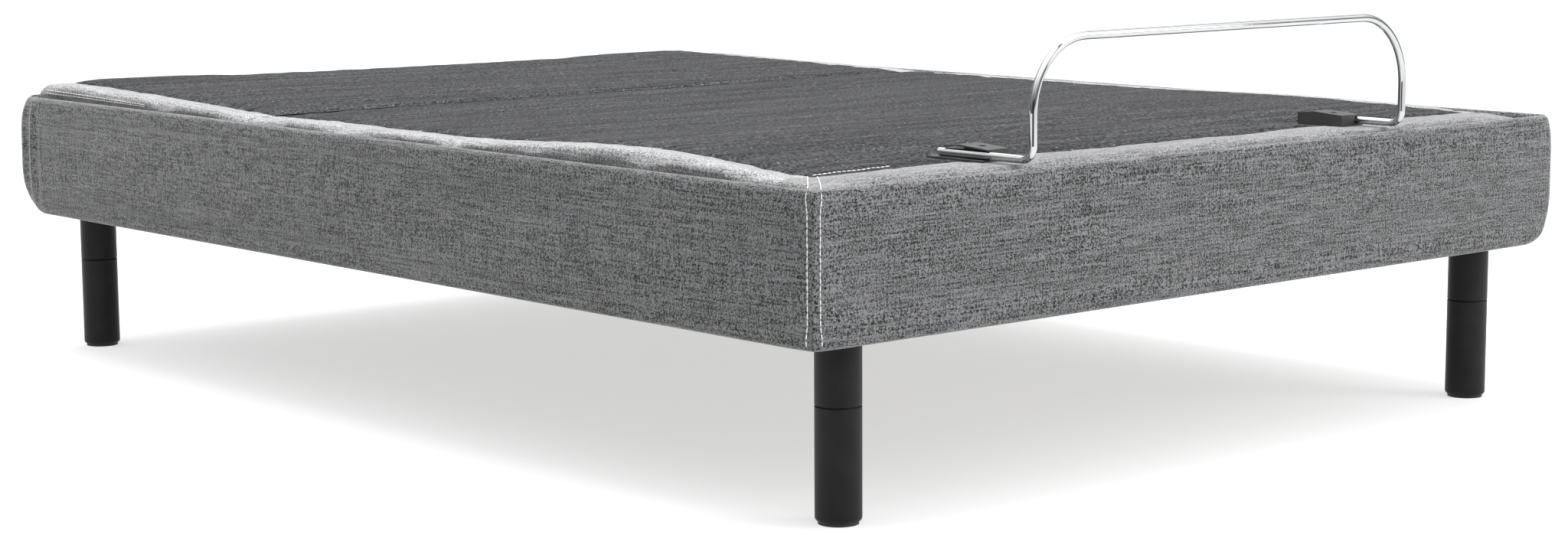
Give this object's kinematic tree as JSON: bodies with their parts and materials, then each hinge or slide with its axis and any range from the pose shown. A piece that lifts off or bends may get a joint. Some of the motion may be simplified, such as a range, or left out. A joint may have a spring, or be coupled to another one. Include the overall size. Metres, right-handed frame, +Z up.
{
  "type": "adjustable bed base",
  "caption": "Adjustable bed base with fabric skirt, padded folding deck, tubular steel frame, round legs and a chrome mattress retainer bar.",
  "frame": {"origin": "middle of the footprint, on the floor", "axes": "+X across the bed, +Y to the head end, +Z up"},
  "size_m": [1.524, 2.032, 0.6015],
  "materials": {
    "skirt_fabric": "heathered grey woven upholstery",
    "deck_fabric": "charcoal woven deck cover",
    "deck_board": "bare engineered board",
    "frame_finish": "black powder coat",
    "leg_finish": "satin black",
    "glide_plastic": "black plastic",
    "zinc_steel": "zinc plated",
    "bumper_rubber": "black rubber",
    "bar_chrome": "polished",
    "clip_steel": "dark satin coat",
    "black_plastic": "fine texture",
    "actuator_tube": "extruded",
    "rod_chrome": "ground and plated"
  },
  "bodies": {
    "frame": {"leg_lowers": "leg_finish", "leg_uppers": "leg_finish", "leg_glides": "glide_plastic", "leg_plates": "frame_finish", "leg_studs": "zinc_steel", "side_rail_right": "frame_finish", "side_rail_left": "frame_finish", "end_cross_tubes": "frame_finish", "actuator_cross_tubes": "frame_finish", "deck_posts": "frame_finish", "rest_bumpers": "bumper_rubber", "seat_board": "deck_board", "seat_pad": "deck_fabric", "seat_cross_tubes": "frame_finish", "seat_hinge_ears": "frame_finish", "seat_hinge_pins": "zinc_steel", "link_frame_brackets": "frame_finish", "frame_pivot_pins": "zinc_steel", "actuator_brackets": "frame_finish", "control_box": "black_plastic", "power_supply": "black_plastic", "skirt_right": "skirt_fabric", "skirt_left": "skirt_fabric", "skirt_foot": "skirt_fabric", "skirt_head": "skirt_fabric", "skirt_brackets": "zinc_steel"},
    "head_section": {"head_board": "deck_board", "head_pad": "deck_fabric", "head_cross_tubes": "frame_finish", "head_rails": "frame_finish", "head_hinge_ears": "frame_finish", "head_levers": "frame_finish"},
    "thigh_section": {"thigh_board": "deck_board", "thigh_pad": "deck_fabric", "thigh_cross_tubes": "frame_finish", "thigh_rails": "frame_finish", "thigh_hinge_ears": "frame_finish", "thigh_levers": "frame_finish", "knee_hinge_pins": "zinc_steel"},
    "foot_section": {"foot_board": "deck_board", "foot_pad": "deck_fabric", "foot_cross_tubes": "frame_finish", "foot_rails": "frame_finish", "foot_hinge_ears": "frame_finish", "link_foot_brackets": "frame_finish", "link_foot_pins": "zinc_steel", "retainer_bar": "bar_chrome", "retainer_clips": "clip_steel", "retainer_bolts": "zinc_steel"},
    "foot_links": {"foot_link_right": "frame_finish", "foot_link_left": "frame_finish"},
    "head_actuator": {"head_actuator_housing": "black_plastic", "head_actuator_tube": "actuator_tube"},
    "head_actuator_ram": {"head_actuator_rod": "rod_chrome", "head_actuator_pin": "zinc_steel"},
    "thigh_actuator": {"thigh_actuator_housing": "black_plastic", "thigh_actuator_tube": "actuator_tube"},
    "thigh_actuator_ram": {"thigh_actuator_rod": "rod_chrome", "thigh_actuator_pin": "zinc_steel"}
  },
  "joints": [
    {"name": "head_lift", "type": "hinge", "parent": "frame", "child": "head_section", "pos_m": [0, 0.319, 0.421], "axis": [1, 0, 0], "range_deg": [0, 60]},
    {"name": "thigh_lift", "type": "hinge", "parent": "frame", "child": "thigh_section", "pos_m": [0, 0.159, 0.421], "axis": [-1, 0, 0], "range_deg": [0, 40]},
    {"name": "knee_fold", "type": "hinge", "parent": "thigh_section", "child": "foot_section", "pos_m": [0, -0.266, 0.3907], "axis": [1, 0, 0], "range_deg": [0, 40]},
    {"name": "foot_link_swing", "type": "hinge", "parent": "frame", "child": "foot_links", "pos_m": [0, -0.391, 0.345], "axis": [-1, 0, 0], "range_deg": [0, 40]},
    {"name": "head_actuator_swing", "type": "hinge", "parent": "frame", "child": "head_actuator", "pos_m": [-0.13, -0.22, 0.317], "axis": [1, 0, 0], "range_deg": [-1.2, 0]},
    {"name": "head_actuator_stroke", "type": "slide", "parent": "head_actuator", "child": "head_actuator_ram", "axis": [0, 0.9999, 0.0121], "range_m": [0, 0.12]},
    {"name": "thigh_actuator_swing", "type": "hinge", "parent": "frame", "child": "thigh_actuator", "pos_m": [0.13, 0.68, 0.312], "axis": [1, 0, 0], "range_deg": [0, 0.35]},
    {"name": "thigh_actuator_stroke", "type": "slide", "parent": "thigh_actuator", "child": "thigh_actuator_ram", "axis": [0, -1, -0.0048], "range_m": [0, 0.083]}
  ],
  "couplings": [
    {"joint": "knee_fold", "follows": "thigh_lift", "ratio": 1},
    {"joint": "foot_link_swing", "follows": "thigh_lift", "ratio": 1},
    {"joint": "head_actuator_swing", "follows": "head_lift", "ratio": -0.019283},
    {"joint": "head_actuator_stroke", "follows": "head_lift", "m_per_rad": 0.11414},
    {"joint": "thigh_actuator_swing", "follows": "thigh_lift", "ratio": 0.006352},
    {"joint": "thigh_actuator_stroke", "follows": "thigh_lift", "m_per_rad": 0.11753}
  ]
}
